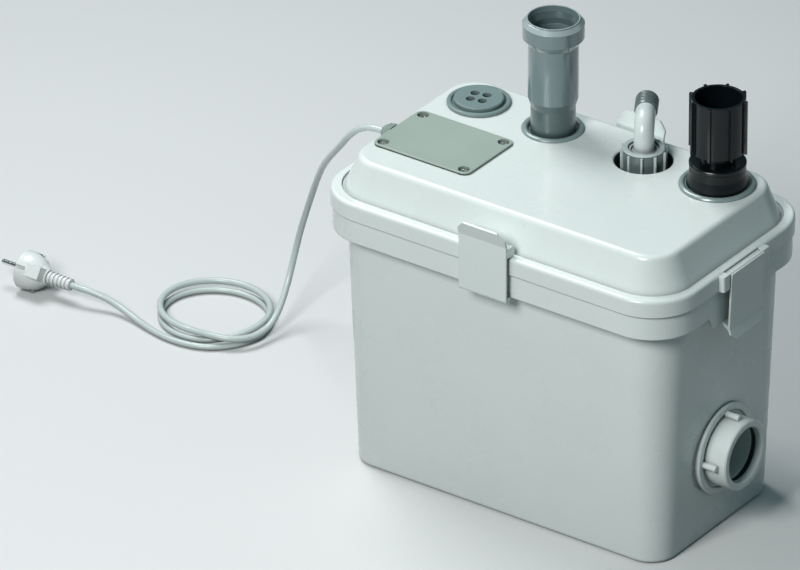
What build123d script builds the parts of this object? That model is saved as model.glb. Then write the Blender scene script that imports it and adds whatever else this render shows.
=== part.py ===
from build123d import *
import math
import os

# Small sewage lifting unit: a closed tank with a clipped lid, pipe ports on top and on one side,
# a submerged pump, a float, and a mains cord with plug. Millimetres, +Z up.
# The origin is the centre of the tank's underside. +X runs to the side inlet, -Y is the front.

# Tank and lid
WALL = 3.0
FLOOR = 4.0
BASE_X = 332.0
BASE_Y = 181.4
BASE_R = 25.0
NECK_X = 350.6
NECK_Y = 200.0
NECK_R = 36.0
RIM_X = 373.2
RIM_Y = 226.8
RIM_R = 45.0
RIM_BOTTOM = 236.4
PARTING = 259.2
LID_X = 377.0
LID_Y = 231.0
LID_R = 47.0
BEAD_TOP = 275.4
DOME_FOOT = 272.0
DOME_FOOT_X = 357.0
DOME_FOOT_Y = 209.0
DOME_FOOT_R = 40.0
DOME_TOP = 305.6
DOME_X = 330.4
DOME_Y = 182.0
DOME_R = 27.0
DOME_EDGE = 5.5
SKIN = DOME_TOP - WALL

# Ports on the lid, nearly on one line behind the middle
VENT = (-127.5, 55.0)
INLET = (-47.5, 54.0)
OUTLET = (49.2, 53.0)
SLEEVE = (126.5, 53.3)

# Side inlet in the right wall
SIDE_Z = 82.0
SIDE_BORE = 25.3
SIDE_BODY = 32.5
SIDE_RING = 42.0
SIDE_FACE = 195.7
SIDE_PAD = 171.0

# Terminal box in the lid, its cover and the cord gland at its end
COVER_MID = (-109.0, -24.75)
COVER_SIZE = (102.0, 74.5)
COVER_R = 7.5
COVER_BASE = DOME_TOP + 1.0
COVER_THICK = 1.3
SCREW_PITCH = (86.0, 60.0)
BOX_FLOOR = 263.0
BOX_END = COVER_MID[0] - COVER_SIZE[0] / 2
GLAND_Y = -25.0
GLAND_Z = 298.5
GLAND_TIP = -173.0
GLAND_FACE = BOX_END - 2.2

# Clips: (distance out from the middle, height) of each pivot
CLIP_WIDE = 50.0
FRONT_PIVOT = (117.4, 235.6)
FRONT_ROD = 1.7
SIDE_PIVOT = (191.7, 271.9)
SIDE_ROD = 2.0
RUNNING_FIT = 0.06

# Pump, on the tank floor
PUMP = (-28.0, 8.0)
VOLUTE_R = 55.0
VOLUTE_Z = (22.0, 58.0)
CHAMBER_R = 46.0
CHAMBER_Z = (28.0, 52.0)
DELIVERY_Z = 40.0
MOTOR_R = 52.0
MOTOR_TOP = 226.0
SHAFT_R = 6.0
RISER_R = 13.5
RISER_BORE = 10.5
VALVE_Z = (78.0, 124.0)
LEAD_AT = (-72.0, -6.0)

# Float and its guide
FLOAT_AT = (-122.0, -8.0)

# Cord and plug
CORD = 6.0
PLUG_AT = (-586.6, -6.4, 18.3)
PLUG_ROLL = -34.6


def rounded_box(size, radius, low, high, at=(0, 0), mode=Mode.ADD):
    """Upright block with rounded corners, in the part being built."""
    with BuildSketch(Plane.XY.offset(low)) as outline:
        with Locations(at):
            RectangleRounded(size[0], size[1], radius)
    extrude(outline.sketch, amount=high - low, mode=mode)


def disc_up(radius, low, high, at, mode=Mode.ADD):
    """Upright cylinder between two heights, in the part being built."""
    with BuildSketch(Plane.XY.offset(low)) as outline:
        with Locations(at):
            Circle(radius)
    extrude(outline.sketch, amount=high - low, mode=mode)


def turned_up(points, at=(0, 0), mode=Mode.ADD):
    """Turned shape about an upright axis, from (radius, height) points of half its section."""
    with BuildSketch(Plane(origin=(at[0], at[1], 0), x_dir=(1, 0, 0), z_dir=(0, -1, 0))) as section:
        with BuildLine():
            Polyline(*points, close=True)
        make_face()
    revolve(section.sketch, axis=Axis((at[0], at[1], 0), (0, 0, 1)), mode=mode)


def turned_level(points, at=(0, 0, 0), mode=Mode.ADD):
    """Turned shape about a level axis along X, from (distance, radius) points of half its section."""
    with BuildSketch(Plane(origin=at, x_dir=(1, 0, 0), z_dir=(0, -1, 0))) as section:
        with BuildLine():
            Polyline(*[(x - at[0], r) for x, r in points], close=True)
        make_face()
    revolve(section.sketch, axis=Axis(at, (1, 0, 0)), mode=mode)


def turned(points, at=(0, 0)):
    """A piece that is one turned shape about an upright axis."""
    with BuildPart() as piece:
        turned_up(points, at)
    return piece


def ring(outer, inner, low, high, at):
    """A piece that is a plain upright ring."""
    return turned([(inner, low), (outer, low), (outer, high), (inner, high)], at)


# Tank: drafted walls, a hollow rim with a gasket groove, clip rods and catch lugs
DRAFT = (NECK_X - BASE_X) / RIM_BOTTOM
THROAT_X = BASE_X + DRAFT * PARTING - 2 * WALL
THROAT_Y = BASE_Y + DRAFT * PARTING - 2 * WALL
GROOVE_X = 361.0
GROOVE_Y = 214.6
GROOVE_R = 40.0
GROOVE_WIDE = 5.0
GROOVE_DEEP = 3.5
LUG_TOP = 46.7
LUG_FOOT = 40.0
LUG_Z = 225.0
with BuildPart() as tank:
    with BuildSketch():
        RectangleRounded(BASE_X, BASE_Y, BASE_R)
    with BuildSketch(Plane.XY.offset(RIM_BOTTOM)):
        RectangleRounded(NECK_X, NECK_Y, NECK_R)
    loft()
    fillet(tank.edges().group_by(Axis.Z)[0], 3.5)
    rounded_box((RIM_X, RIM_Y), RIM_R, RIM_BOTTOM, PARTING)
    with BuildSketch(Plane.XY.offset(RIM_BOTTOM)):
        RectangleRounded(RIM_X - 2 * WALL, RIM_Y - 2 * WALL, RIM_R - WALL)
        RectangleRounded(NECK_X + 1, NECK_Y + 1, NECK_R + 0.5, mode=Mode.SUBTRACT)
    extrude(amount=PARTING - RIM_BOTTOM - GROOVE_DEEP - WALL, mode=Mode.SUBTRACT)
    with BuildSketch(Plane.XY.offset(FLOOR)):
        RectangleRounded(BASE_X - 2 * WALL, BASE_Y - 2 * WALL, BASE_R - WALL)
    with BuildSketch(Plane.XY.offset(PARTING)):
        RectangleRounded(THROAT_X, THROAT_Y, NECK_R - WALL)
    loft(mode=Mode.SUBTRACT)
    with BuildSketch(Plane.XY.offset(PARTING - GROOVE_DEEP)):
        RectangleRounded(GROOVE_X, GROOVE_Y, GROOVE_R)
        RectangleRounded(
            GROOVE_X - 2 * GROOVE_WIDE, GROOVE_Y - 2 * GROOVE_WIDE, GROOVE_R - GROOVE_WIDE,
            mode=Mode.SUBTRACT,
        )
    extrude(amount=GROOVE_DEEP, mode=Mode.SUBTRACT)
    # Catch lugs hang from the rim's skirt on the short sides
    for side in (1, -1):
        with BuildSketch(Plane(origin=(side * RIM_X / 2, 0, 0), x_dir=(0, 1, 0), z_dir=(1, 0, 0))):
            with BuildLine():
                Polyline(
                    (-LUG_TOP, RIM_BOTTOM + 1), (-LUG_TOP, RIM_BOTTOM), (-LUG_FOOT, LUG_Z),
                    (LUG_FOOT, LUG_Z), (LUG_TOP, RIM_BOTTOM), (LUG_TOP, RIM_BOTTOM + 1), close=True,
                )
            make_face()
        extrude(amount=-side * WALL)
    # Clip rods under the rim on the long sides, each on two brackets
    for side in (1, -1):
        pivot = Plane(
            origin=(0, -side * FRONT_PIVOT[0], FRONT_PIVOT[1]), x_dir=(0, -side, 0), z_dir=(-side, 0, 0)
        )
        with BuildSketch(pivot):
            Circle(FRONT_ROD)
        extrude(amount=CLIP_WIDE / 2, both=True)
        for x in (-10.0, 10.0):
            with BuildSketch(pivot.offset(x)):
                with BuildLine():
                    Polyline(
                        (-5.0, 2.2), (-5.0, 10.4), (-4.0, 10.4), (1.0, 3.5), (1.0, 0), (-1.0, 0),
                        (-3.4, 2.2), close=True,
                    )
                make_face()
            extrude(amount=2.5, both=True)
    # Pads give the side inlet two upright faces round its hole
    side_plane = Plane(origin=(SIDE_PAD, 0, SIDE_Z), x_dir=(0, 1, 0), z_dir=(1, 0, 0))
    with BuildSketch(side_plane):
        Circle(40)
    extrude(amount=-6.5)
    with BuildSketch(side_plane):
        Circle(29.4)
    extrude(amount=-12, mode=Mode.SUBTRACT)

# Gasket in the rim's groove
with BuildPart() as lid_gasket:
    with BuildSketch(Plane.XY.offset(PARTING - GROOVE_DEEP)):
        RectangleRounded(GROOVE_X - 0.4, GROOVE_Y - 0.4, GROOVE_R - 0.2)
        RectangleRounded(
            GROOVE_X - 2 * GROOVE_WIDE + 0.4, GROOVE_Y - 2 * GROOVE_WIDE + 0.4,
            GROOVE_R - GROOVE_WIDE + 0.2, mode=Mode.SUBTRACT,
        )
    extrude(amount=GROOVE_DEEP)

# Hollow of the lid, without the corner that carries the gland's notch
with BuildPart() as lid_hollow:
    rounded_box((THROAT_X, THROAT_Y), NECK_R - WALL, PARTING, DOME_FOOT)
    with BuildSketch(Plane.XY.offset(DOME_FOOT)):
        RectangleRounded(THROAT_X, THROAT_Y, NECK_R - WALL)
    with BuildSketch(Plane.XY.offset(SKIN)):
        RectangleRounded(DOME_X - 2 * WALL, DOME_Y - 2 * WALL, DOME_R - WALL)
    loft()
    rounded_box((24, 62), 3, 284, DOME_TOP, (BOX_END - 8, GLAND_Y + 3.5), Mode.SUBTRACT)

# Lid: rim with a bead, a domed top, the terminal box, port holes and the clip bails
POCKET_R = 26.0
POCKET_FLOOR = 286.0
BAIL_HALF = 35.5
BAIL_GAP = 26.2
BOSS_R = 7.6
with BuildPart() as lid:
    rounded_box((LID_X, LID_Y), LID_R, PARTING, BEAD_TOP)
    fillet(lid.edges().group_by(Axis.Z)[-1], 3.2)
    rounded_box(
        (DOME_FOOT_X + 3.6, DOME_FOOT_Y + 3.6), DOME_FOOT_R + 1.8, BEAD_TOP - 2, BEAD_TOP + 1,
        mode=Mode.SUBTRACT,
    )
    with BuildSketch(Plane.XY.offset(DOME_FOOT)):
        RectangleRounded(DOME_FOOT_X, DOME_FOOT_Y, DOME_FOOT_R)
    with BuildSketch(Plane.XY.offset(DOME_TOP)):
        RectangleRounded(DOME_X, DOME_Y, DOME_R)
    loft()
    fillet(lid.edges().group_by(Axis.Z)[-1], DOME_EDGE)
    add(lid_hollow.part, mode=Mode.SUBTRACT)
    # Terminal box: shell, notch in the dome's end for the gland, inside with a boss for each screw
    rounded_box(COVER_SIZE, COVER_R, BOX_FLOOR, SKIN + 1, COVER_MID)
    rounded_box((30, 55), 6, 287, DOME_TOP + 1, (GLAND_FACE - 15, GLAND_Y + 3.5), Mode.SUBTRACT)
    with BuildSketch(Plane.XY.offset(BOX_FLOOR + 2.5)):
        with Locations(COVER_MID):
            RectangleRounded(COVER_SIZE[0] - 6, COVER_SIZE[1] - 6, COVER_R - 3)
            with GridLocations(*SCREW_PITCH, 2, 2):
                Circle(BOSS_R, mode=Mode.SUBTRACT)
    extrude(amount=60, mode=Mode.SUBTRACT)
    with BuildSketch(Plane.XY.offset(DOME_TOP - 3.2)):
        with Locations(COVER_MID):
            with GridLocations(*SCREW_PITCH, 2, 2):
                Circle(6.2)
    extrude(amount=4, mode=Mode.SUBTRACT)
    with BuildSketch(Plane.XY.offset(DOME_TOP - 15)):
        with Locations(COVER_MID):
            with GridLocations(*SCREW_PITCH, 2, 2):
                Circle(1.8)
    extrude(amount=15, mode=Mode.SUBTRACT)
    with BuildSketch(Plane(origin=(GLAND_FACE - 1, GLAND_Y, GLAND_Z), x_dir=(0, 1, 0), z_dir=(1, 0, 0))):
        Circle(5.3)
    extrude(amount=10, mode=Mode.SUBTRACT)
    disc_up(5.2, BOX_FLOOR - 1, BOX_FLOOR + 3, FLOAT_AT, Mode.SUBTRACT)
    disc_up(4.2, BOX_FLOOR - 1, BOX_FLOOR + 3, LEAD_AT, Mode.SUBTRACT)
    # Port holes
    disc_up(22.0, SKIN - 1, DOME_TOP + 1, VENT, Mode.SUBTRACT)
    disc_up(24.0, SKIN - 1, DOME_TOP + 1, INLET, Mode.SUBTRACT)
    disc_up(24.0, SKIN - 1, DOME_TOP + 1, SLEEVE, Mode.SUBTRACT)
    # Pocket for the union nut, with a stem hole in its floor
    disc_up(POCKET_R + 2.5, POCKET_FLOOR, SKIN + 1, OUTLET)
    turned_up(
        [(0, POCKET_FLOOR + 2.5), (POCKET_R, POCKET_FLOOR + 2.5), (POCKET_R, DOME_TOP - 1.2),
         (POCKET_R + 1.2, DOME_TOP), (POCKET_R + 1.2, DOME_TOP + 1), (0, DOME_TOP + 1)],
        OUTLET, Mode.SUBTRACT,
    )
    disc_up(16.2, POCKET_FLOOR - 1, POCKET_FLOOR + 3, OUTLET, Mode.SUBTRACT)
    # Bails for the side clips: two ears and a rod, with a slot behind the rod
    for side in (1, -1):
        rounded_box((7.5, 2 * BAIL_HALF), 2.4, PARTING, BEAD_TOP - 1.4, (side * 190.25, 0))
        with BuildSketch(Plane.XY.offset(PARTING - 1)):
            with Locations((side * SIDE_PIVOT[0], 0)):
                Rectangle(8.8, 2 * BAIL_GAP)
        extrude(amount=20, mode=Mode.SUBTRACT)
        with BuildSketch(
            Plane(origin=(side * SIDE_PIVOT[0], 0, SIDE_PIVOT[1]), x_dir=(1, 0, 0), z_dir=(0, 1, 0))
        ):
            Circle(SIDE_ROD)
        extrude(amount=BAIL_GAP + 1, both=True)


def clip(outline, inner, outer, start, tip_half, tip, bevel_from):
    """Clip about its pivot, the X axis, with -Y outward. outline is its section as (outward, up)
    points; the snap ring runs from the angle start, down and round to the inside."""
    plane = Plane(origin=(0, 0, 0), x_dir=(0, -1, 0), z_dir=(-1, 0, 0))
    with BuildPart() as piece:
        with BuildSketch(plane) as section:
            with BuildLine():
                Polyline(*outline, close=True)
            make_face()
        extrude(section.sketch, amount=CLIP_WIDE / 2, both=True)
        with BuildSketch(plane) as snap:
            with BuildLine():
                outside = CenterArc((0, 0), outer, start, -200 - start)
                inside = CenterArc((0, 0), inner, start, -200 - start)
                Line(outside @ 0, inside @ 0)
                Line(outside @ 1, inside @ 1)
            make_face()
        extrude(snap.sketch, amount=CLIP_WIDE / 2, both=True)
        # The lip narrows to its tip
        for side in (1, -1):
            with BuildSketch(Plane.XZ) as corner:
                with BuildLine():
                    Polyline(
                        (side * CLIP_WIDE / 2, bevel_from), (side * tip_half, tip),
                        (side * tip_half, tip * 1.2), (side * CLIP_WIDE, tip * 1.2),
                        (side * CLIP_WIDE, bevel_from), close=True,
                    )
                make_face()
            extrude(corner.sketch, amount=40, both=True, mode=Mode.SUBTRACT)
    return piece


# Front and rear clips turn on the rods under the rim and hook over the lid's bead
FRONT_RING = FRONT_ROD + RUNNING_FIT
long_clip = clip(
    [(3.6, 0), (3.6, 52.4), (8.3, 66.2), (6.5, 66.8), (1.9, 53.6), (1.7, 50.4), (-7.6, 49.6),
     (-9.0, 48.0), (-9.0, 42.0), (-7.8, 40.6), (-4.4, 40.4), (1.7, 41.6), (FRONT_RING, 0)],
    FRONT_RING, 3.6, 0, 17.4, 66.8, 59.2,
)
with BuildPart() as bracket_gaps:
    with Locations((-10, 1.9, -1.7), (10, 1.9, -1.7)):
        Box(6.2, 6.2, 6.6)
with BuildPart() as front_latch:
    with Locations((0, -FRONT_PIVOT[0], FRONT_PIVOT[1])):
        add(long_clip.part - bracket_gaps.part)
with BuildPart() as rear_latch:
    with Locations(Location((0, FRONT_PIVOT[0], FRONT_PIVOT[1]), (0, 0, 180))):
        add(long_clip.part - bracket_gaps.part)

# Side clips hang from the lid's bails and catch under the tank's lugs
SIDE_RING_IN = SIDE_ROD + RUNNING_FIT
side_clip = clip(
    [(4.0, 0), (1.9, -52.9), (5.5, -63.8), (3.7, -64.3), (-0.3, -54.6), (-4.6, -51.8), (-6.8, -49.6),
     (-6.8, -47.4), (-5.0, -47.4), (-3.9, -49.2), (-0.1, -50.6), (SIDE_RING_IN, 0)],
    SIDE_RING_IN, 4.0, 20, 19.2, -64.3, -58.6,
)
with BuildPart() as right_latch:
    with Locations(Location((SIDE_PIVOT[0], 0, SIDE_PIVOT[1]), (0, 0, 90))):
        add(side_clip.part)
with BuildPart() as left_latch:
    with Locations(Location((-SIDE_PIVOT[0], 0, SIDE_PIVOT[1]), (0, 0, -90))):
        add(side_clip.part)

# Vent: a push-in cap with four holes over a round filter, sealed by a ring on its stub
VENT_TOP = 311.4
with BuildPart() as vent_cap:
    turned_up(
        [(0, VENT_TOP), (21.4, VENT_TOP), (22.2, VENT_TOP - 0.8), (22.2, 307.0), (23.9, 307.0),
         (24.3, 308.2), (25.0, 308.7), (27.2, 308.7), (28.1, 308.1), (28.4, 307.2), (28.4, 305.9),
         (21.4, 305.9), (21.4, 302.6),
         (20.2, 302.6), (20.2, 300.4), (21.4, 300.4), (21.4, 297.0), (19.4, 297.0), (19.4, 307.4),
         (0, 307.4)],
        VENT,
    )
    with BuildSketch(Plane.XY.offset(VENT_TOP)):
        with Locations(Location((VENT[0], VENT[1], 0), (0, 0, 14))):
            with GridLocations(11.3, 11.3, 2, 2):
                Circle(4.15)
    extrude(amount=-4, mode=Mode.SUBTRACT)
vent_filter = turned([(0, 297.4), (18.3, 297.4), (19.2, 298.2), (19.2, 307.2), (0, 307.2)], VENT)
vent_seal = ring(21.7, 20.3, 300.5, 302.5, VENT)

# Upright inlet: a pipe with a swelled mouth that holds a lip seal
inlet_pipe = turned(
    [(18.2, 262), (19.9, 262), (19.9, 330), (22.3, 338), (22.3, 390.5), (24.6, 394.2), (27.4, 397.4),
     (27.4, 410.2), (24.3, 413.9), (23.7, 414.1), (23.7, 415.0), (23.3, 415.4), (22.7, 415.4),
     (22.3, 415.0), (22.3, 409), (24.5, 409), (24.5, 399), (20.3, 399), (20.3, 351), (18.2, 348)],
    INLET,
)
inlet_seal = turned([(24.4, 399.1), (24.4, 408.9), (22.2, 408.9), (20.35, 404.1), (20.35, 399.1)], INLET)
inlet_grommet = turned(
    [(20.0, 299.6), (25.6, 299.6), (26.4, 302.6), (23.8, 302.6), (23.8, 305.6), (27.8, 305.6),
     (27.8, 306.5), (27.0, 307.5), (25.7, 308.0), (24.1, 308.0), (22.9, 307.4), (22.2, 306.4),
     (22.2, 304.4), (20.0, 304.4)],
    INLET,
)

# Second inlet: a ribbed coupling sleeve in a collar, through a wide grommet
NECK = 15.0
with BuildPart() as sleeve:
    turned_up(
        [(0, 272), (NECK, 272), (NECK, 338.8), (NECK + 0.8, 339.6), (22.6, 339.6), (23.5, 340.5),
         (23.5, 391), (0, 391)],
        SLEEVE,
    )
    with BuildSketch(Plane.XY.offset(339.6)):
        with Locations(SLEEVE):
            with PolarLocations(24.4, 8, start_angle=-74):
                Rectangle(4.0, 2.4)
    extrude(amount=51.4)
    turned_up(
        [(0, 271), (12.8, 271), (12.8, 342.6), (20.9, 345), (20.9, 392), (0, 392)], SLEEVE, Mode.SUBTRACT
    )
sleeve_collar = turned(
    [(23.4, 307.0), (27.6, 307.0), (26.6, 312), (25.3, 318), (24.6, 325), (25.2, 326.4), (25.2, 328.4),
     (24.6, 329.3), (23.4, 329.5), (16.4, 328.3), (NECK + 0.1, 328.3), (NECK + 0.1, 321), (21.2, 318)],
    SLEEVE,
)
sleeve_grommet = turned(
    [(NECK + 0.1, 299.6), (25.6, 299.6), (26.4, 302.6), (23.8, 302.6), (23.8, 305.6), (34.0, 305.6),
     (34.0, 306.6), (33.1, 307.9), (31.6, 308.5), (30.1, 308.4), (29.0, 307.6), (28.6, 307.0),
     (NECK + 0.1, 307.0)],
    SLEEVE,
)

# Pressure outlet: riser head, seal, union nut and a swivelling hose elbow
HEAD_TOP = 309.0
riser_pipe = turned(
    [(RISER_BORE, VALVE_Z[1]), (RISER_R, VALVE_Z[1]), (RISER_R, 290), (15.2, 292),
     (15.2, HEAD_TOP), (RISER_BORE, HEAD_TOP)],
    OUTLET,
)
elbow_seal = ring(14.2, 10.7, HEAD_TOP, HEAD_TOP + 1.3, OUTLET)
with BuildPart() as union_nut:
    turned_up(
        [(15.6, 293), (18.2, 293), (18.7, 293.8), (18.7, 317.2), (18.0, 318), (14.4, 318),
         (14.0, 317.6), (14.0, 315.8), (11.5, 315.8), (11.5, 314.4), (15.6, 314.4)],
        OUTLET,
    )
    with BuildSketch(Plane.XY.offset(294.5)):
        with Locations(OUTLET):
            with PolarLocations(19.2, 10, start_angle=-61):
                SlotCenterToCenter(1.4, 2.2)
    extrude(amount=22)
SPIGOT_TOP = 317.0
elbow_spigot = turned(
    [(6.5, 310.6), (14.6, 310.6), (14.6, 314.0), (10.0, 314.0), (9, 316), (9, SPIGOT_TOP), (6.5, SPIGOT_TOP)],
    OUTLET,
)
ELBOW_TURN = 120.7
ELBOW_AXIS = 340.0
TAIL_FROM = 24.0
with BuildPart() as elbow_form:
    with BuildLine() as route:
        FilletPolyline((0, 0, SPIGOT_TOP), (0, 0, ELBOW_AXIS), (TAIL_FROM, 0, ELBOW_AXIS), radius=15)
    with BuildSketch(Plane.XY.offset(SPIGOT_TOP)) as tube:
        Circle(9)
    sweep(tube.sketch, path=route.line)
    with BuildLine() as bore_route:
        FilletPolyline((0, 0, SPIGOT_TOP), (0, 0, ELBOW_AXIS), (48, 0, ELBOW_AXIS), radius=15)
    with BuildSketch(Plane.XY.offset(SPIGOT_TOP)) as bore:
        Circle(6.5)
    sweep(bore.sketch, path=bore_route.line, mode=Mode.SUBTRACT)
with BuildPart() as tail_form:
    turned_level(
        [(TAIL_FROM, 6.5), (TAIL_FROM, 9.6), (26, 10.4), (27.5, 10.4), (28.6, 9.0), (30.4, 9.0), (31.6, 10.4),
         (33, 10.4), (34.1, 9.0), (35.9, 9.0), (37.1, 10.4), (38.5, 10.4), (39.6, 9.0), (41.4, 9.0),
         (42.6, 10.4), (43.8, 10.4), (47, 8.6), (47, 6.5)],
        (0, 0, ELBOW_AXIS),
    )
ELBOW_PLACE = Location((OUTLET[0], OUTLET[1], 0), (0, 0, ELBOW_TURN))
with BuildPart() as hose_elbow:
    with Locations(ELBOW_PLACE):
        add(elbow_form.part)
with BuildPart() as hose_tail:
    with Locations(ELBOW_PLACE):
        add(tail_form.part)

# Side inlet: socket with lugs, seal, outer gasket and inner lock nut
SIDE_AT = (0, 0, SIDE_Z)
with BuildPart() as side_inlet_socket:
    turned_level(
        [(155, 22.5), (155, 29), (172, 29), (172, SIDE_RING), (173.9, SIDE_RING), (174.9, 41.0),
         (174.9, 36.4), (174.1, 35.5), (172.9, 35.5), (172.9, SIDE_BODY), (194.4, SIDE_BODY), (SIDE_FACE, 31.2), (SIDE_FACE, 26.6),
         (194.4, SIDE_BORE), (188.5, SIDE_BORE), (188.5, 28.3), (184, 28.3), (184, SIDE_BORE),
         (168, SIDE_BORE), (168, 22.5)],
        SIDE_AT,
    )
    with BuildSketch(Plane(origin=(172.5, 0, SIDE_Z), x_dir=(0, 1, 0), z_dir=(1, 0, 0))):
        with PolarLocations(34.9, 4):
            Circle(2.9)
    extrude(amount=16)
with BuildPart() as side_inlet_seal:
    turned_level([(184.1, 25.35), (188.4, 25.35), (188.4, 28.2), (184.1, 28.2)], SIDE_AT)
with BuildPart() as side_inlet_gasket:
    turned_level([(SIDE_PAD, 29.6), (172, 29.6), (172, 39), (SIDE_PAD, 39)], SIDE_AT)
with BuildPart() as side_inlet_nut:
    turned_level([(158, 29.15), (158, 35.2), (158.8, 36), (164.5, 36), (164.5, 29.15)], SIDE_AT)
    with BuildSketch(Plane(origin=(157, 0, SIDE_Z), x_dir=(0, 1, 0), z_dir=(1, 0, 0))):
        with PolarLocations(36, 8):
            Circle(2.6)
    extrude(amount=5, mode=Mode.SUBTRACT)

# Terminal cover with four screw wells, on a thin gasket
WELL_FLOOR = DOME_TOP - 3.0
with BuildPart() as terminal_cover:
    rounded_box(COVER_SIZE, COVER_R, COVER_BASE, COVER_BASE + COVER_THICK, COVER_MID)
    fillet(terminal_cover.edges().group_by(Axis.Z)[-1], 0.8)
    for radius, low, high, mode in (
        (6.0, WELL_FLOOR, COVER_BASE + 0.5, Mode.ADD),
        (5.3, WELL_FLOOR + 1.2, COVER_BASE + 3, Mode.SUBTRACT),
        (2.2, WELL_FLOOR - 1, COVER_BASE, Mode.SUBTRACT),
    ):
        with BuildSketch(Plane.XY.offset(low)) as wells:
            with Locations(COVER_MID):
                with GridLocations(*SCREW_PITCH, 2, 2):
                    Circle(radius)
        extrude(wells.sketch, amount=high - low, mode=mode)
with BuildPart() as cover_gasket:
    with BuildSketch(Plane.XY.offset(DOME_TOP)):
        with Locations(COVER_MID):
            RectangleRounded(COVER_SIZE[0] - 0.6, COVER_SIZE[1] - 0.6, COVER_R - 0.3)
            RectangleRounded(COVER_SIZE[0] - 7, COVER_SIZE[1] - 7, COVER_R - 3.5, mode=Mode.SUBTRACT)
            with GridLocations(*SCREW_PITCH, 2, 2):
                Circle(BOSS_R)
            with GridLocations(*SCREW_PITCH, 2, 2):
                Circle(6.2, mode=Mode.SUBTRACT)
    extrude(amount=COVER_BASE - DOME_TOP)
with BuildPart() as one_screw:
    turned_up(
        [(0, 293.5), (1.2, 293.5), (1.7, 294.6), (1.7, WELL_FLOOR + 1.2), (3.8, WELL_FLOOR + 1.2),
         (3.8, 305.2), (3.0, 306.2), (0, 306.2)]
    )
    with Locations((0, 0, 306.2)):
        Box(4.4, 0.9, 2.0, mode=Mode.SUBTRACT)
        Box(0.9, 4.4, 2.0, mode=Mode.SUBTRACT)
with BuildPart() as cover_screws:
    with Locations((COVER_MID[0], COVER_MID[1], 0)):
        with GridLocations(*SCREW_PITCH, 2, 2):
            add(one_screw.part)

# Terminal strip and start capacitor inside the box
STRIP_FLOOR = BOX_FLOOR + 2.5
STRIP_AT = (-93.0, -2.0)
with BuildPart() as terminal_block:
    with Locations((STRIP_AT[0], STRIP_AT[1], STRIP_FLOOR + 7)):
        Box(30, 14, 14)
    with BuildSketch(Plane.XY.offset(STRIP_FLOOR + 14)):
        with Locations(STRIP_AT):
            with GridLocations(9, 6, 3, 2):
                Circle(2)
    extrude(amount=-6, mode=Mode.SUBTRACT)
    with BuildSketch(
        Plane(origin=(STRIP_AT[0], STRIP_AT[1] - 7, STRIP_FLOOR + 4), x_dir=(1, 0, 0), z_dir=(0, -1, 0))
    ):
        with Locations((-9, 0), (0, 0), (9, 0)):
            Circle(2.2)
    extrude(amount=-14, mode=Mode.SUBTRACT)
with BuildPart() as capacitor:
    with BuildSketch(Plane(origin=(-138, -40, STRIP_FLOOR + 12), x_dir=(0, 1, 0), z_dir=(1, 0, 0))):
        Circle(12)
    extrude(amount=62)
    fillet(capacitor.edges(), 1.5)

# Cord gland at the box's end: body and domed nut
GLAND_MID = (0, GLAND_Y, GLAND_Z)


def hexagon(face, across, depth):
    """Six-sided block on the gland's axis that runs inward from a face."""
    with BuildSketch(Plane(origin=(face, GLAND_Y, GLAND_Z), x_dir=(0, 1, 0), z_dir=(1, 0, 0))) as outline:
        RegularPolygon(across / 2, 6, major_radius=False)
    extrude(outline.sketch, amount=depth)


with BuildPart() as cable_gland:
    hexagon(GLAND_FACE - 3, 16.4, 3)
    turned_level(
        [(GLAND_FACE + 8, 0), (GLAND_FACE + 8, 5.1), (GLAND_FACE - 1, 5.1), (GLAND_FACE - 1, 0)], GLAND_MID
    )
    turned_level(
        [(GLAND_FACE + 9, 0), (GLAND_FACE + 9, 3.1), (GLAND_FACE - 4, 3.1), (GLAND_FACE - 4, 0)],
        GLAND_MID, Mode.SUBTRACT,
    )
with BuildPart() as gland_nut:
    hexagon(GLAND_FACE - 6, 15.4, 3)
    turned_level(
        [(GLAND_FACE - 5, 0), (GLAND_FACE - 5, 7.6), (GLAND_FACE - 7, 7.5), (GLAND_TIP + 1.2, 6.0),
         (GLAND_TIP, 4.6), (GLAND_TIP, 0)],
        GLAND_MID,
    )
    turned_level(
        [(GLAND_FACE, 0), (GLAND_FACE, 3.1), (GLAND_TIP - 1, 3.1), (GLAND_TIP - 1, 0)],
        GLAND_MID, Mode.SUBTRACT,
    )

# Suction screen, volute and impeller
with BuildPart() as suction_screen:
    turned_up([(47, FLOOR), (50, FLOOR), (50, VOLUTE_Z[0]), (47, VOLUTE_Z[0])], PUMP)
    with BuildSketch(Plane.XY.offset(FLOOR + 3)):
        with Locations(PUMP):
            with PolarLocations(48.5, 16):
                Rectangle(8, 7)
    extrude(amount=11, mode=Mode.SUBTRACT)
with BuildPart() as volute:
    disc_up(VOLUTE_R, VOLUTE_Z[0], VOLUTE_Z[1], PUMP)
    delivery = Plane(origin=(PUMP[0] - 8, OUTLET[1], DELIVERY_Z), x_dir=(0, 1, 0), z_dir=(1, 0, 0))
    with BuildSketch(delivery):
        Circle(RISER_R)
    extrude(amount=OUTLET[0] - PUMP[0] + 8)
    with Locations((OUTLET[0], OUTLET[1], DELIVERY_Z)):
        Sphere(RISER_R)
    disc_up(RISER_R, DELIVERY_Z, VALVE_Z[0], OUTLET)
    disc_up(CHAMBER_R, CHAMBER_Z[0], CHAMBER_Z[1], PUMP, Mode.SUBTRACT)
    disc_up(18, VOLUTE_Z[0], CHAMBER_Z[0], PUMP, Mode.SUBTRACT)
    disc_up(30, CHAMBER_Z[1], VOLUTE_Z[1], PUMP, Mode.SUBTRACT)
    with BuildSketch(delivery.offset(8)):
        Circle(RISER_BORE)
    extrude(amount=OUTLET[0] - PUMP[0], mode=Mode.SUBTRACT)
    with Locations((OUTLET[0], OUTLET[1], DELIVERY_Z)):
        Sphere(RISER_BORE, mode=Mode.SUBTRACT)
    disc_up(RISER_BORE, DELIVERY_Z, VALVE_Z[0], OUTLET, Mode.SUBTRACT)
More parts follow.
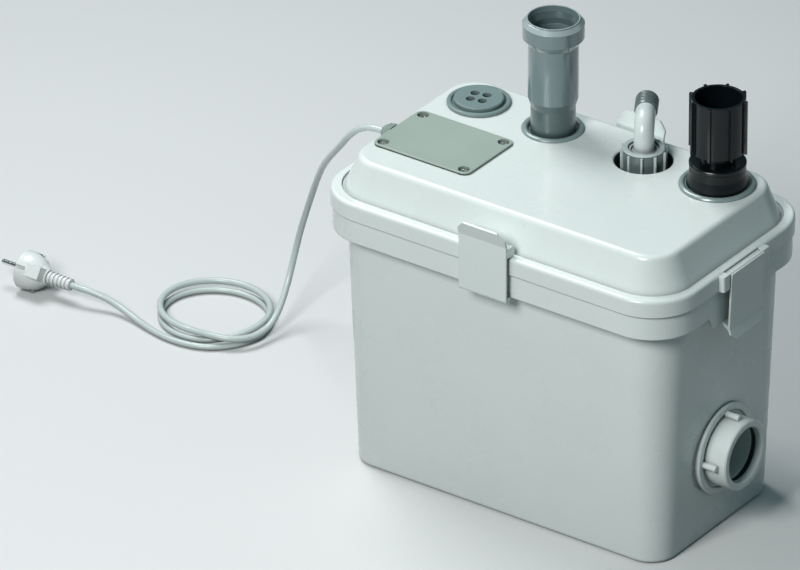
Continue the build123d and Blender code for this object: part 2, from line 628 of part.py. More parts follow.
with BuildPart() as impeller:
    disc_up(34, 45, 48, PUMP)
    disc_up(11, 32, 45, PUMP)
    with BuildSketch(Plane.XY.offset(32)) as vane:
        with BuildLine():
            ThreePointArc((9, 0), (21, -3.5), (32.5, -9))
        trace(line_width=2.4)
    with Locations((PUMP[0], PUMP[1], 0)):
        with PolarLocations(0, 6):
            add(extrude(vane.sketch, amount=13, mode=Mode.PRIVATE))
    disc_up(SHAFT_R + 0.05, 31, 49, PUMP, Mode.SUBTRACT)

# Motor: can with oil chamber, stator, rotor, shaft, bearings, seal and top cover
BEARING_R = 16.0
motor_housing = turned(
    [(7, VOLUTE_Z[1]), (MOTOR_R, VOLUTE_Z[1]), (MOTOR_R, MOTOR_TOP), (49, MOTOR_TOP), (49, 84),
     (21, 84), (21, 96), (BEARING_R + 0.05, 96), (BEARING_R + 0.05, 84), (12, 84), (12, 78), (49, 78),
     (49, 66), (7, 66)],
    PUMP,
)
with BuildPart() as motor_cover:
    turned_up(
        [(0, 218), (BEARING_R + 0.05, 218), (BEARING_R + 0.05, 200), (21, 200), (21, MOTOR_TOP),
         (MOTOR_R, MOTOR_TOP), (MOTOR_R, 235), (47, 240), (0, 240)],
        PUMP,
    )
    disc_up(3.2, 225, 241, LEAD_AT, Mode.SUBTRACT)
motor_lead = turned([(0, 226.5), (3.1, 226.5), (3.1, 270), (0, 270)], LEAD_AT)
with BuildPart() as stator:
    turned_up(
        [(30, 110), (48.9, 110), (48.9, 190), (46, 190), (45, 198), (34, 198), (32, 190), (30, 190)], PUMP
    )
    turned_up([(32, 110), (34, 102), (45, 102), (46, 110)], PUMP)
with BuildPart() as rotor:
    turned_up(
        [(SHAFT_R + 0.05, 112), (29.3, 112), (29.3, 188), (SHAFT_R + 0.05, 188)], PUMP
    )
shaft = turned([(0, 31), (SHAFT_R, 31), (SHAFT_R, 215), (0, 215)], PUMP)
upper_bearing = ring(BEARING_R, SHAFT_R + RUNNING_FIT, 200, 212, PUMP)
lower_bearing = ring(BEARING_R, SHAFT_R + RUNNING_FIT, 84, 96, PUMP)
shaft_seal = ring(14, SHAFT_R + RUNNING_FIT, 66, 74, PUMP)
with BuildPart() as volute_screws:
    with BuildSketch(Plane.XY.offset(VOLUTE_Z[0] - 3.4)):
        with Locations(PUMP):
            with PolarLocations(41, 4, start_angle=45):
                Circle(3.4)
    extrude(amount=3.4)

# Check valve on the delivery pipe: housing with a pin, and a flap on the pin
SEAT_Z = 84.0
HINGE = (-15.5, SEAT_Z + 2.6)
with BuildPart() as valve_housing:
    turned_up(
        [(RISER_BORE, VALVE_Z[0]), (20, VALVE_Z[0]), (24, 81), (24, 121), (20, VALVE_Z[1]),
         (RISER_BORE, VALVE_Z[1]), (RISER_BORE, 120), (20, 116), (20, SEAT_Z), (RISER_BORE, SEAT_Z)],
        OUTLET,
    )
    with BuildSketch(Plane(origin=(OUTLET[0], OUTLET[1], 0), x_dir=(1, 0, 0), z_dir=(0, -1, 0))):
        with Locations(HINGE):
            Circle(1.2)
    extrude(amount=14, both=True)
with BuildPart() as check_flap:
    disc_up(13, SEAT_Z + 0.3, SEAT_Z + 3.3, OUTLET)
    with Locations((OUTLET[0] - 12, OUTLET[1], SEAT_Z + 1.9)):
        Box(8, 8, 2.8)
    with BuildSketch(Plane(origin=(OUTLET[0], OUTLET[1], 0), x_dir=(1, 0, 0), z_dir=(0, -1, 0))):
        with Locations(HINGE):
            Circle(2.3)
    extrude(amount=4, both=True)
    with BuildSketch(Plane(origin=(OUTLET[0], OUTLET[1], 0), x_dir=(1, 0, 0), z_dir=(0, -1, 0))):
        with Locations(HINGE):
            Circle(1.26)
    extrude(amount=6, both=True, mode=Mode.SUBTRACT)

# Float, its guide tube with two stops, and the reed switch inside the tube
STOP_LOW = 49.0
STOP_HIGH = 150.0
float_guide = turned(
    [(3.4, 45), (9, 45), (9, STOP_LOW), (5, STOP_LOW), (5, STOP_HIGH), (8, STOP_HIGH), (8, 154), (5, 154),
     (5, STRIP_FLOOR), (9, STRIP_FLOOR), (9, STRIP_FLOOR + 2.5), (3.4, STRIP_FLOOR + 2.5)],
    FLOAT_AT,
)
float_ball = turned(
    [(5.4, 49.4), (15, 49.4), (20, 52), (23, 57), (24, 63), (24, 71), (23, 77), (20, 82), (15, 84.6),
     (5.4, 84.6)],
    FLOAT_AT,
)
reed_switch = turned([(0, 60), (3.2, 60), (3.2, 160), (0, 160)], FLOAT_AT)

# Plug: domed body with grip block and grooves, drawn with its axis along X and pins towards -X
PLUG_R = 18.2
PIN_R = 2.4
PIN_HALF = 9.5
PIN_LONG = 19.0
RELIEF = (26.5, 52.8)
with BuildPart() as plug_form:
    with BuildSketch(Plane(origin=(0, 0, 0), x_dir=(1, 0, 0), z_dir=(0, -1, 0))):
        with BuildLine():
            Polyline((28, 7), (28, 0), (0, 0), (0, 17.2), (1, PLUG_R), (6, PLUG_R))
            dome = TangentArc((6, PLUG_R), (23, 10.5), tangent=(1, 0))
            Line(dome @ 1, (28, 7))
        make_face()
    revolve(axis=Axis((0, 0, 0), (1, 0, 0)))
    with Locations((16.5, 0, 0)):
        Box(20, 34, 11.7)
    # Guide grooves at the sides and earth grooves at the top and bottom
    for side in (1, -1):
        with Locations((5.5, side * 17.6, 0)):
            Box(11.4, 3.2, 3.4, mode=Mode.SUBTRACT)
        with Locations((8.0, 0, side * 17.6)):
            Box(16.4, 6.4, 3.0, mode=Mode.SUBTRACT)
with BuildPart() as pins_form:
    with BuildSketch(Plane.YZ):
        with Locations((-PIN_HALF, 0), (PIN_HALF, 0)):
            Circle(PIN_R)
    extrude(amount=-PIN_LONG)
    chamfer(pins_form.faces().sort_by(Axis.X)[:2].edges(), 0.9)
with BuildPart() as earth_form:
    for side in (1, -1):
        with Locations((8.0, 0, side * 16.9)):
            Box(15.8, 4.6, 1.0)
with BuildPart() as relief_form:
    turned_level([(28, 3.05), (28, 5.2), (RELIEF[1], 4.7), (RELIEF[1], 3.05)])
    for index in range(6):
        x = 30.4 + 4.2 * index
        turned_level([(x - 1.1, 3.6), (x - 1.1, 6.2 - 0.1 * index), (x + 1.1, 6.2 - 0.1 * index), (x + 1.1, 3.6)])


def place_plug(form):
    """Roll a plug piece about its axis and set it where the plug lies."""
    with BuildPart() as piece:
        with Locations(Location(PLUG_AT, (PLUG_ROLL, 0, 0))):
            add(form.part)
    return piece


plug_body = place_plug(plug_form)
plug_pins = place_plug(pins_form)
earth_clips = place_plug(earth_form)
plug_relief = place_plug(relief_form)

# Cord, from the gland to the coil, the coil of two turns, and on to the plug
LOWER = CORD / 2 + 0.05
UPPER = LOWER + CORD + 0.95


def coil_station(index):
    """Point and direction of the coil at a quarter turn; it winds clockwise, then drops a layer."""
    t = index / 4
    angle = math.radians(-90 - 360 * t)
    point = Vector(
        -414 + 3.3 * t + 51 * math.cos(angle), 49.7 - 4 * t + 48 * math.sin(angle),
        UPPER if index <= 3 else LOWER,
    )
    heading = Vector(3.3 + 102 * math.pi * math.sin(angle), -4 - 96 * math.pi * math.cos(angle), 0)
    return point, heading.normalized()


def biarc(start, start_dir, end, end_dir):
    """Two tangent arcs between two stations."""
    chord = end - start
    total = start_dir + end_dir
    a = 2 * (1 - start_dir.dot(end_dir))
    b = 2 * chord.dot(total)
    c = -chord.dot(chord)
    reach = -c / b if abs(a) < 1e-9 else (math.sqrt(b * b - 4 * a * c) - b) / (2 * a)
    joint = (start + start_dir * reach + end - end_dir * reach) * 0.5
    TangentArc(start, joint, tangent=start_dir)
    TangentArc(joint, end, tangent=(end - end_dir * reach) - (start + start_dir * reach))


COIL_STATIONS = [coil_station(index) for index in range(8)]
with BuildPart() as cord_coil:
    with BuildLine() as coil_route:
        for (start, start_dir), (end, end_dir) in zip(COIL_STATIONS, COIL_STATIONS[1:]):
            biarc(start, start_dir, end, end_dir)
    coil_path = coil_route.wire()
    with BuildSketch(Plane(origin=COIL_STATIONS[0][0], z_dir=COIL_STATIONS[0][1])) as section:
        Circle(CORD / 2)
    sweep(section.sketch, path=coil_path)

LEAD_POINTS = [
    (GLAND_TIP, GLAND_Y, GLAND_Z), (-183.5, -25, 298.5), (-193.6, -24.9, 295.6), (-202.5, -24.3, 290.1),
    (-210.3, -22.8, 282.6), (-219.9, -18.7, 271.3), (-231.8, -11.1, 257.5), (-245.7, -0.1, 242.2),
    (-263.6, 16.3, 223.3), (-283, 36, 201.6), (-302.8, 56.5, 176.3), (-320.7, 73.6, 149.6),
    (-337, 86.7, 119.5), (-349, 92.5, 91),
    (-354.8, 91.8, 66.5), (-355.4, 84.6, 47), (-353.2, 73.5, 33), (-350.6, 61, 22),
    (-349.2, 48.5, 14.6), (-349.9, 36, 11), (-352.1, 24.6, 10.2), (-358.3, 13.9, 10.4),
    (-367.7, 5.9, 11.2), (-379.3, 1.7, 11.9), (-390.5, 1.35, 11.4), (-402, 1.85, UPPER),
    tuple(COIL_STATIONS[0][0]),
]
TAIL_POINTS = [
    tuple(COIL_STATIONS[-1][0]), (-357.1, 31.5, LOWER), (-360.8, 18.5, LOWER), (-368.6, 5.6, LOWER),
    (-381.6, -5.8, LOWER), (-400, -12.6, LOWER), (-421.5, -13.4, LOWER), (-443.5, -9.2, LOWER),
    (-463.5, -3.4, 4.2), (-482, 0.2, 8), (-498.5, 0.2, 12.8), (-511.5, -3.4, 16.6), (-522.8, -6.4, 18.3),
    (PLUG_AT[0] + RELIEF[1], PLUG_AT[1], PLUG_AT[2]),
]


def corner_radii(points):
    """Arc radius at each inner point: as large as its two runs allow."""
    radii = []
    for before, here, after in zip(points, points[1:], points[2:]):
        first = Vector(*here) - Vector(*before)
        second = Vector(*after) - Vector(*here)
        turn = math.radians(first.get_angle(second))
        radii.append(0.45 * min(first.length, second.length) / math.tan(turn / 2))
    return radii


def cord_tube(points, name):
    """Tube along straight runs joined by tangent arcs; prints its radii and its volume's ratio."""
    radii = corner_radii(points)
    with BuildPart() as piece:
        with BuildLine() as route:
            FilletPolyline(*points, radius=radii)
        path = route.wire()
        heading = path % 0
        with BuildSketch(Plane(origin=points[0], z_dir=heading)) as section:
            Circle(CORD / 2)
        sweep(section.sketch, path=path)
    ratio = piece.part.volume / (math.pi * (CORD / 2) ** 2 * path.length)
    print(name, "radii", [round(radius) for radius in radii], "length", round(path.length),
          "volume ratio", round(ratio, 4))
    return piece


cord_lead = cord_tube(LEAD_POINTS, "cord_lead")
cord_tail = cord_tube(TAIL_POINTS, "cord_tail")
coil_ratio = cord_coil.part.volume / (math.pi * (CORD / 2) ** 2 * coil_path.length)
print("cord_coil length", round(coil_path.length), "volume ratio", round(coil_ratio, 4))
samples = [coil_path @ (index / 400) for index in range(401)]
apart = int(400 * 40 / coil_path.length)
gap = min(
    (samples[i] - samples[j]).length for i in range(401) for j in range(i + apart, 401)
) - CORD
print("cord_coil least gap to itself", round(gap, 2))

pieces = {
    "tank": tank,
    "lid": lid,
    "lid_gasket": lid_gasket,
    "front_latch": front_latch,
    "rear_latch": rear_latch,
    "left_latch": left_latch,
    "right_latch": right_latch,
    "vent_cap": vent_cap,
    "vent_filter": vent_filter,
    "vent_seal": vent_seal,
    "inlet_pipe": inlet_pipe,
    "inlet_seal": inlet_seal,
    "inlet_grommet": inlet_grommet,
    "sleeve": sleeve,
    "sleeve_collar": sleeve_collar,
    "sleeve_grommet": sleeve_grommet,
    "hose_elbow": hose_elbow,
    "hose_tail": hose_tail,
    "elbow_spigot": elbow_spigot,
    "union_nut": union_nut,
    "elbow_seal": elbow_seal,
    "riser_pipe": riser_pipe,
    "valve_housing": valve_housing,
    "check_flap": check_flap,
    "side_inlet_socket": side_inlet_socket,
    "side_inlet_seal": side_inlet_seal,
    "side_inlet_gasket": side_inlet_gasket,
    "side_inlet_nut": side_inlet_nut,
    "terminal_cover": terminal_cover,
    "cover_gasket": cover_gasket,
    "cover_screws": cover_screws,
    "terminal_block": terminal_block,
    "capacitor": capacitor,
    "cable_gland": cable_gland,
    "gland_nut": gland_nut,
    "float_guide": float_guide,
    "float": float_ball,
    "reed_switch": reed_switch,
    "suction_screen": suction_screen,
    "volute": volute,
    "volute_screws": volute_screws,
    "impeller": impeller,
    "motor_housing": motor_housing,
    "motor_cover": motor_cover,
    "motor_lead": motor_lead,
    "stator": stator,
    "rotor": rotor,
    "shaft": shaft,
    "upper_bearing": upper_bearing,
    "lower_bearing": lower_bearing,
    "shaft_seal": shaft_seal,
    "cord_lead": cord_lead,
    "cord_coil": cord_coil,
    "cord_tail": cord_tail,
    "plug_body": plug_body,
    "plug_pins": plug_pins,
    "earth_clips": earth_clips,
    "plug_relief": plug_relief,
}
os.makedirs("parts", exist_ok=True)
for name, piece in pieces.items():
    piece.part.label = name
    export_step(piece.part, f"parts/{name}.step")
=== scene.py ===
import math

import bpy
from mathutils import Matrix, Vector


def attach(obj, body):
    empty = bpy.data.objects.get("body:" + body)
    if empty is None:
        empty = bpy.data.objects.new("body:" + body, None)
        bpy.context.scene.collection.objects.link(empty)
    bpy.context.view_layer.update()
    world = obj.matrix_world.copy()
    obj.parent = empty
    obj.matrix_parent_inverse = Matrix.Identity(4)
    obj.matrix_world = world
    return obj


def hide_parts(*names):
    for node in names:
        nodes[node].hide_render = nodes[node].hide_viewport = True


# Small sewage lifting unit on a pale floor: moulded light-grey tank and lid, grey and black pipe
# ports, white hose elbow, and a pale mains cord that lies in a loose coil beside it. Metres.

MM = 0.001

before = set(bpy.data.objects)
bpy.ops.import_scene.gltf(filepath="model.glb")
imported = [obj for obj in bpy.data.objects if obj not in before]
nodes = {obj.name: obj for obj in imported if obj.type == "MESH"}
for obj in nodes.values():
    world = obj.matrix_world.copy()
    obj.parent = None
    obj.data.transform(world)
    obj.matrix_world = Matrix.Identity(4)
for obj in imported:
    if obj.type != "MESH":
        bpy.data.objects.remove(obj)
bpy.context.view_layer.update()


# Nodes of a material
MIX_FIRST = 6
MIX_SECOND = 7
MIX_RESULT = 2


def socket(node, name, value):
    node.inputs[name].default_value = value


def noise(tree, place, scale, detail, distortion=0.0):
    """Cloud pattern in the piece's own space."""
    node = tree.nodes.new("ShaderNodeTexNoise")
    socket(node, "Scale", scale)
    socket(node, "Detail", detail)
    socket(node, "Distortion", distortion)
    tree.links.new(place.outputs["Object"], node.inputs["Vector"])
    return node.outputs["Fac"]


def spread(tree, value, low, high, start=0.0, stop=1.0):
    """The value's stretch from start to stop, laid over low to high."""
    node = tree.nodes.new("ShaderNodeMapRange")
    socket(node, "From Min", start)
    socket(node, "From Max", stop)
    socket(node, "To Min", low)
    socket(node, "To Max", high)
    tree.links.new(value, node.inputs["Value"])
    return node.outputs["Result"]


def blend(tree, factor, first, second):
    """Goes from the first colour to the second; each is a colour or another node's output."""
    node = tree.nodes.new("ShaderNodeMix")
    node.data_type = "RGBA"
    tree.links.new(factor, node.inputs["Factor"])
    for entry, colour in ((MIX_FIRST, first), (MIX_SECOND, second)):
        if isinstance(colour, tuple):
            node.inputs[entry].default_value = colour
        else:
            tree.links.new(colour, node.inputs[entry])
    return node.outputs[MIX_RESULT]


def greatest(tree, first, second):
    node = tree.nodes.new("ShaderNodeMath")
    node.operation = "MAXIMUM"
    tree.links.new(first, node.inputs[0])
    tree.links.new(second, node.inputs[1])
    return node.outputs["Value"]


def shade(color, share):
    """The colour at a share of its strength, at most white, with full cover."""
    return (*[min(part * share, 1.0) for part in color], 1)


# Surfaces: a cloudy tone, rubbed marks, painted shade in recesses, a fine grain and softened edges
CLOUD_SCALE = 14.0
CLOUD_DETAIL = 4.0
CLOUD_LOW = 0.32
CLOUD_HIGH = 0.7
LIGHT_SHARE = 0.6
MARK_SCALE = 60.0
MARK_DETAIL = 8.0
MARK_TWIST = 1.4
MARK_LOW = 0.62
MARK_HIGH = 0.78
MARK_TONE = 0.55
RECESS_REACH = 7 * MM
RECESS_LOW = 0.25
RECESS_HIGH = 0.85
RECESS_SHADE_STRENGTH = 0.55
RECESS_SHADE_TONE = 0.12
EDGE_SAMPLES = 6
GRAIN_SCALE = 1100.0
GRAIN_DETAIL = 2.0
GRAIN_DEPTH = 0.4 * MM
GLOSSIER = 0.02
DULLER = 0.03
LEAST_ROUGH = 0.03
COAT_ROUGH = 0.12


def moulded(name, color, rough=0.34, tone=0.05, grain=0.05, scuff=0.0, coat=0.0, metal=0.0,
            bevel=0.6 * MM, specular=0.5):
    """Surface of one moulded, cast or plated material; scuff, coat and bevel are left out at 0."""
    material = bpy.data.materials.new(name)
    material.use_nodes = True
    tree = material.node_tree
    make = tree.nodes.new
    join = tree.links.new
    shader = tree.nodes["Principled BSDF"]
    place = make("ShaderNodeTexCoord")

    cloud = noise(tree, place, CLOUD_SCALE, CLOUD_DETAIL)
    ramp = make("ShaderNodeValToRGB")
    dark_end, light_end = ramp.color_ramp.elements
    dark_end.position = CLOUD_LOW
    light_end.position = CLOUD_HIGH
    dark_end.color = shade(color, 1 - tone)
    light_end.color = shade(color, 1 + tone * LIGHT_SHARE)
    join(cloud, ramp.inputs["Fac"])
    surface = ramp.outputs["Color"]
    if scuff:
        marks = noise(tree, place, MARK_SCALE, MARK_DETAIL, MARK_TWIST)
        rubbed = spread(tree, marks, 0.0, scuff, MARK_LOW, MARK_HIGH)
        surface = blend(tree, rubbed, surface, shade(color, MARK_TONE))
    # Painted shade: the colour darkens towards a dark copy of itself in recesses and between parts, by
    # ambient occlusion
    hollow = make("ShaderNodeAmbientOcclusion")
    hollow.samples = EDGE_SAMPLES
    socket(hollow, "Distance", RECESS_REACH)
    recess_shade = spread(tree, hollow.outputs["AO"], RECESS_SHADE_STRENGTH, 0.0, RECESS_LOW, RECESS_HIGH)
    join(blend(tree, recess_shade, surface, shade(color, RECESS_SHADE_TONE)), shader.inputs["Base Color"])

    polish = spread(tree, cloud, max(rough - GLOSSIER, LEAST_ROUGH), rough + DULLER)
    join(polish, shader.inputs["Roughness"])
    bump = make("ShaderNodeBump")
    socket(bump, "Strength", grain)
    socket(bump, "Distance", GRAIN_DEPTH)
    join(noise(tree, place, GRAIN_SCALE, GRAIN_DETAIL), bump.inputs["Height"])
    if bevel:
        soften = make("ShaderNodeBevel")
        soften.samples = EDGE_SAMPLES
        socket(soften, "Radius", bevel)
        join(soften.outputs["Normal"], bump.inputs["Normal"])
    join(bump.outputs["Normal"], shader.inputs["Normal"])
    socket(shader, "Metallic", metal)
    socket(shader, "Coat Weight", coat)
    socket(shader, "Coat Roughness", COAT_ROUGH)
    socket(shader, "Specular IOR Level", specular)
    return material


# Shell, clips and cover
SHELL = moulded("shell_plastic", (0.735, 0.80, 0.78), rough=0.27, tone=0.02, grain=0.03, coat=0.25,
                bevel=1.2 * MM)
CLIP = moulded("clip_plastic", (0.70, 0.77, 0.75), rough=0.26, tone=0.02, grain=0.03, coat=0.25,
               bevel=0.7 * MM)
COVER = moulded("cover_plastic", (0.33, 0.41, 0.36), rough=0.42, tone=0.06, grain=0.08)
VENT = moulded("vent_plastic", (0.20, 0.28, 0.275), rough=0.32, grain=0.06, coat=0.2)
GLAND = moulded("gland_plastic", (0.27, 0.33, 0.31), tone=0.06)
# Painted shade: a near-black copy of the shell for the pocket round the union nut
POCKET_SHADE = moulded("pocket_painted_shade", (0.050, 0.065, 0.065), rough=0.45, tone=0.10)

# Pipe ports and their rubber
PIPE = moulded("pipe_plastic", (0.155, 0.215, 0.225), rough=0.25, tone=0.08, grain=0.03, scuff=0.10,
               coat=0.8, specular=0.7)
# Painted highlight: a lighter copy of the pipe's colour for the chamfer on its rim
MOUTH_HIGHLIGHT = moulded("pipe_mouth_painted_highlight", (0.36, 0.43, 0.44), rough=0.22, tone=0.06, grain=0.03, coat=0.8)
# Painted shade: a darker copy of the pipe's colour for its foot, also used for the inlet seal
FOOT_SHADE = moulded("pipe_foot_painted_shade", (0.085, 0.125, 0.130), rough=0.28, tone=0.08, grain=0.03, coat=0.4)
SLEEVE = moulded("sleeve_plastic", (0.003, 0.0055, 0.0075), rough=0.20, tone=0.2, grain=0.02,
                 coat=0.15, specular=0.28)
COLLAR = moulded("collar_rubber", (0.004, 0.0065, 0.008), rough=0.26, tone=0.2, grain=0.06,
                 specular=0.4)
GROMMET = moulded("grommet_rubber", (0.23, 0.305, 0.30), rough=0.30, tone=0.06, grain=0.06, coat=0.4)
SEAL = moulded("seal_rubber", (0.013, 0.019, 0.020), rough=0.55, tone=0.1, grain=0.2)

# Hose elbow, its nut and its tail
WHITE = moulded("elbow_plastic", (0.62, 0.68, 0.67), rough=0.30, tone=0.02, grain=0.02, coat=0.25)
TAIL = moulded("tail_plastic", (0.11, 0.155, 0.15), rough=0.28, tone=0.10, grain=0.03, coat=0.3)
NUT = moulded("nut_plastic", (0.50, 0.58, 0.56), rough=0.26, tone=0.04, grain=0.04, coat=0.4)
# Painted shade: a darker copy of the nut's colour for its upright sides
NUT_SHADE = moulded("nut_side_painted_shade", (0.115, 0.150, 0.150), rough=0.30, tone=0.08, coat=0.2)

# Cord, plug and plain metal
PLUG = moulded("plug_plastic", (0.80, 0.84, 0.83), rough=0.24, tone=0.03, grain=0.03, coat=0.3,
               bevel=0.4 * MM)
SHEATH = moulded("cord_sheath", (0.56, 0.64, 0.62), grain=0.04, bevel=0.0, coat=0.25)
NICKEL = moulded("nickel_plate", (0.80, 0.80, 0.78), rough=0.18, tone=0.04, grain=0.01, metal=1.0,
                 bevel=0.2 * MM)
STEEL = moulded("zinc_steel", (0.72, 0.74, 0.74), rough=0.24, tone=0.06, grain=0.03, metal=0.9,
                bevel=0.2 * MM)

# Inner pieces
CASTING = moulded("painted_casting", (0.36, 0.40, 0.42), rough=0.42, tone=0.1, grain=0.25)
DARK = moulded("dark_moulding", (0.045, 0.052, 0.056), rough=0.42, tone=0.15, grain=0.12)
VANE = moulded("impeller_plastic", (0.42, 0.30, 0.10), rough=0.35, tone=0.08)
IRON = moulded("laminated_iron", (0.26, 0.27, 0.28), rough=0.40, tone=0.12, grain=0.2, metal=0.8)
FLOAT = moulded("float_plastic", (0.80, 0.36, 0.05), rough=0.33, grain=0.06)
GUIDE = moulded("guide_plastic", (0.55, 0.58, 0.58), rough=0.38)
FOAM = moulded("filter_foam", (0.020, 0.021, 0.022), rough=0.9, tone=0.5, grain=0.9, bevel=0.0)
STRIP = moulded("strip_plastic", (0.70, 0.70, 0.62), rough=0.45)

SMOOTH_ANGLE = math.radians(30)
finishes = {
    SHELL: ["tank", "lid", "side_inlet_socket"],
    CLIP: ["front_latch", "rear_latch", "left_latch", "right_latch"],
    COVER: ["terminal_cover"],
    VENT: ["vent_cap"],
    PIPE: ["inlet_pipe"],
    # The inlet seal takes the pipe foot's painted-shade tone
    FOOT_SHADE: ["inlet_seal"],
    SLEEVE: ["sleeve"],
    COLLAR: ["sleeve_collar"],
    GROMMET: ["sleeve_grommet", "inlet_grommet"],
    SEAL: ["lid_gasket", "vent_seal", "elbow_seal", "side_inlet_seal", "side_inlet_gasket",
           "cover_gasket", "motor_lead", "shaft_seal", "check_flap"],
    WHITE: ["hose_elbow", "elbow_spigot"],
    TAIL: ["hose_tail"],
    NUT: ["union_nut"],
    PLUG: ["plug_body", "plug_relief"],
    NICKEL: ["plug_pins", "earth_clips"],
    STEEL: ["cover_screws", "volute_screws", "shaft", "upper_bearing", "lower_bearing"],
    CASTING: ["motor_housing", "motor_cover"],
    GLAND: ["cable_gland", "gland_nut"],
    DARK: ["riser_pipe", "valve_housing", "side_inlet_nut", "suction_screen", "volute"],
    VANE: ["impeller"],
    IRON: ["stator", "rotor"],
    FLOAT: ["float"],
    GUIDE: ["float_guide"],
    FOAM: ["vent_filter"],
    STRIP: ["terminal_block", "capacitor", "reed_switch"],
    SHEATH: ["cord_lead", "cord_coil", "cord_tail"],
}
for material, names in finishes.items():
    for name in names:
        mesh = nodes[name].data
        mesh.materials.clear()
        mesh.materials.append(material)
        mesh.set_sharp_from_angle(angle=SMOOTH_ANGLE)
        for polygon in mesh.polygons:
            polygon.use_smooth = True

# Faces of a second tone: painted shade on the nut's sides, in the pocket it sits in and on the pipe's
# foot, and a painted highlight on the pipe's rim
OUTLET = Vector((49.2, 53)) * MM
NUT_R = 18.9 * MM
POCKET_R = 27 * MM
POCKET_TOP = 304.8 * MM
FOOT_TOP = 338 * MM
RIM_FOOT = 410.2 * MM
UPRIGHT = 0.3
TILTED_UP = 0.2


def repaint(name, material, wanted):
    """Give the faces that wanted() picks, by their place and the way they lean, a second material."""
    mesh = nodes[name].data
    place = nodes[name].matrix_world
    mesh.materials.append(material)
    for polygon in mesh.polygons:
        middle = place @ polygon.center
        if wanted(middle, polygon.normal):
            polygon.material_index = len(mesh.materials) - 1


def from_outlet(at):
    """Distance from the outlet's axis."""
    return (at.xy - OUTLET).length


# Painted shade on the nut's upright sides
repaint("union_nut", NUT_SHADE, lambda at, lean: abs(lean.z) < UPRIGHT and from_outlet(at) < NUT_R)
# Painted shade on the walls of the pocket round the nut
repaint("lid", POCKET_SHADE, lambda at, lean: at.z < POCKET_TOP and from_outlet(at) < POCKET_R)
# Painted shade on the pipe's foot below the taper
repaint("inlet_pipe", FOOT_SHADE, lambda at, lean: at.z < FOOT_TOP)
# Painted highlight on the upward-leaning chamfer of the pipe's rim
repaint("inlet_pipe", MOUTH_HIGHLIGHT, lambda at, lean: at.z > RIM_FOOT and lean.z > TILTED_UP)

# Mains cord: one smooth line through the points that the solids follow, the coil from its formula.
# Millimetres. The coil starts on an upper layer and ends on the floor.
CORD_R = 3.0
LOWER = 3.05
UPPER = 10.0
LEAD_POINTS = [
    (-173, -25, 298.5), (-183.5, -25, 298.5), (-193.6, -24.9, 295.6), (-202.5, -24.3, 290.1),
    (-210.3, -22.8, 282.6), (-219.9, -18.7, 271.3), (-231.8, -11.1, 257.5), (-245.7, -0.1, 242.2),
    (-263.6, 16.3, 223.3), (-283, 36, 201.6), (-302.8, 56.5, 176.3), (-320.7, 73.6, 149.6),
    (-337, 86.7, 119.5), (-349, 92.5, 91),
    (-354.8, 91.8, 66.5), (-355.4, 84.6, 47), (-353.2, 73.5, 33), (-350.6, 61, 22),
    (-349.2, 48.5, 14.6), (-349.9, 36, 11), (-352.1, 24.6, 10.2), (-358.3, 13.9, 10.4),
    (-367.7, 5.9, 11.2), (-379.3, 1.7, 11.9), (-390.5, 1.35, 11.4), (-402, 1.85, UPPER),
]
TAIL_POINTS = [
    (-357.1, 31.5, LOWER), (-360.8, 18.5, LOWER), (-368.6, 5.6, LOWER),
    (-381.6, -5.8, LOWER), (-400, -12.6, LOWER), (-421.5, -13.4, LOWER), (-443.5, -9.2, LOWER),
    (-463.5, -3.4, 4.2), (-482, 0.2, 8), (-498.5, 0.2, 12.8), (-511.5, -3.4, 16.6),
    (-522.8, -6.4, 18.3), (-533.8, -6.4, 18.3),
]
COIL_CENTRE = (-414, 49.7)
COIL_DRIFT = (3.3, -4)
COIL_RADII = (51.6, 48.6)
COIL_START = -90
COIL_TURNS = 1.75
COIL_STEPS = 28
DROP_START = 0.75
DROP_TURNS = 0.25


def coil_point(t):
    """Point of the coil after t turns; it drops from the upper to the lower layer near the front."""
    angle = math.radians(COIL_START - 360 * t)
    drop = min(max((t - DROP_START) / DROP_TURNS, 0.0), 1.0)
    height = UPPER + (LOWER - UPPER) * drop * drop * (3 - 2 * drop)
    across = COIL_CENTRE[0] + COIL_DRIFT[0] * t + COIL_RADII[0] * math.cos(angle)
    along = COIL_CENTRE[1] + COIL_DRIFT[1] * t + COIL_RADII[1] * math.sin(angle)
    return (across, along, height)


coil = [coil_point(COIL_TURNS * step / COIL_STEPS) for step in range(COIL_STEPS + 1)]
route = LEAD_POINTS + coil + TAIL_POINTS
curve = bpy.data.curves.new("mains_cord", "CURVE")
curve.dimensions = "3D"
curve.bevel_depth = CORD_R * MM
curve.bevel_resolution = 6
curve.resolution_u = 10
curve.use_fill_caps = True
line = curve.splines.new("NURBS")
line.points.add(len(route) - 1)
for point, (x, y, z) in zip(line.points, route):
    point.co = (x * MM, y * MM, z * MM, 1.0)
line.order_u = 3
line.use_endpoint_u = True
cord = bpy.data.objects.new("mains_cord", curve)
bpy.context.scene.collection.objects.link(cord)
curve.materials.append(SHEATH)
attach(cord, "housing")
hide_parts("cord_lead", "cord_coil", "cord_tail")

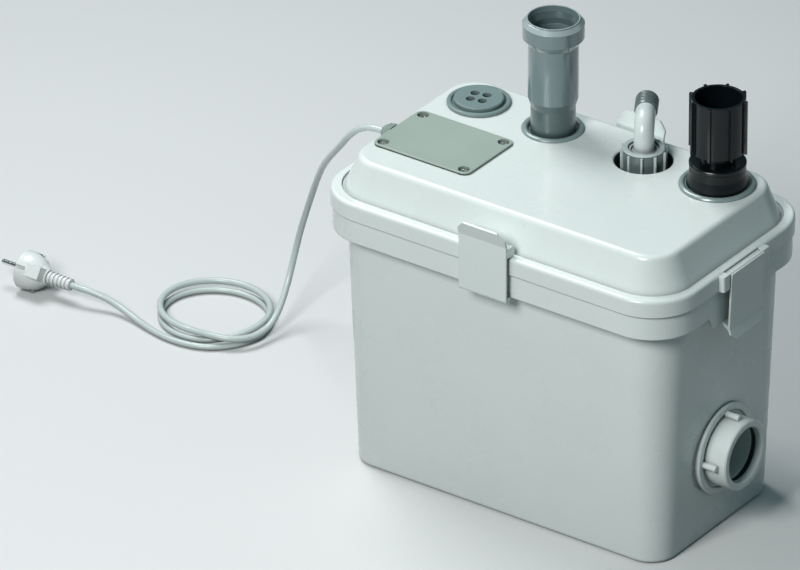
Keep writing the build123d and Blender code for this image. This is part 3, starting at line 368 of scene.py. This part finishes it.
# Floor: pale where it is seen, darker to the light that it throws back
FLOOR_REACH = 6
FLOOR_ROUGH = 0.8
FLOOR_SEEN = (0.72, 0.73, 0.73, 1)
FLOOR_THROWN_BACK = (0.14, 0.15, 0.15, 1)
floor_corners = [(x * FLOOR_REACH, y * FLOOR_REACH, 0) for x, y in ((-1, -1), (1, -1), (1, 1), (-1, 1))]
floor_mesh = bpy.data.meshes.new("floor")
floor_mesh.from_pydata(floor_corners, [], [(0, 1, 2, 3)])
floor = bpy.data.objects.new("floor", floor_mesh)
bpy.context.scene.collection.objects.link(floor)
floor_paint = bpy.data.materials.new("floor_paint")
floor_paint.use_nodes = True
floor_tree = floor_paint.node_tree
floor_shader = floor_tree.nodes["Principled BSDF"]
socket(floor_shader, "Roughness", FLOOR_ROUGH)
ray = floor_tree.nodes.new("ShaderNodeLightPath").outputs
seen = greatest(floor_tree, ray["Is Camera Ray"], ray["Is Glossy Ray"])
seen_through = greatest(floor_tree, seen, ray["Is Transmission Ray"])
floor_colour = blend(floor_tree, seen_through, FLOOR_THROWN_BACK, FLOOR_SEEN)
floor_tree.links.new(floor_colour, floor_shader.inputs["Base Color"])
floor_mesh.materials.append(floor_paint)

# World: a weak cool fill
world = bpy.data.worlds.new("studio")
bpy.context.scene.world = world
world.use_nodes = True
sky = world.node_tree.nodes["Background"]
socket(sky, "Color", (0.58, 0.92, 1.0, 1))
socket(sky, "Strength", 0.15)

# Lamps: the key in front and above, a second one over the left end, a faint one from behind
LAMP_SIZE = 0.8


def area_light(name, place, aim, power, color):
    """Soft square lamp at a place, turned to a point."""
    data = bpy.data.lights.new(name, "AREA")
    data.shape = "SQUARE"
    data.size = LAMP_SIZE
    data.energy = power
    data.color = color
    lamp = bpy.data.objects.new(name, data)
    lamp.location = place
    lamp.rotation_euler = (Vector(aim) - Vector(place)).to_track_quat("-Z", "Y").to_euler()
    bpy.context.scene.collection.objects.link(lamp)


area_light("key", (0.12, -1.9, 1.7), (0, 0, 0.2), 42, (1.0, 1.0, 0.985))
area_light("top", (-1.0, 0.25, 1.7), (-0.05, 0, 0.3), 21, (0.985, 0.99, 1.0))
area_light("rim", (1.2, 1.6, 1.3), (0, 0, 0.2), 1, (0.95, 0.99, 1.0))

# Camera: a long lens at the photo's angle; its aim is measured along its own right and up
AZIMUTH = math.radians(35.55)
ELEVATION = math.radians(29.34)
ROLL = math.radians(-0.15)
AIM_RIGHT = -0.14133
AIM_UP = 0.16476
DISTANCE = 10.48393
LENS = 535.5
SENSOR = 36
right = Vector((math.cos(AZIMUTH), math.sin(AZIMUTH), 0))
back = Vector((
    math.sin(AZIMUTH) * math.cos(ELEVATION), -math.cos(AZIMUTH) * math.cos(ELEVATION), math.sin(ELEVATION),
))
up = back.cross(right)
target = right * AIM_RIGHT + up * AIM_UP
camera_data = bpy.data.cameras.new("camera")
camera_data.sensor_width = SENSOR
camera_data.lens = LENS
camera_data.clip_start = 0.1
camera_data.clip_end = 100
camera = bpy.data.objects.new("camera", camera_data)
turn = Matrix((right, up, back)).transposed() @ Matrix.Rotation(ROLL, 3, "Z")
camera.matrix_world = Matrix.Translation(target + back * DISTANCE) @ turn.to_4x4()
bpy.context.scene.collection.objects.link(camera)
bpy.context.scene.camera = camera
bpy.context.scene.view_settings.view_transform = "Standard"
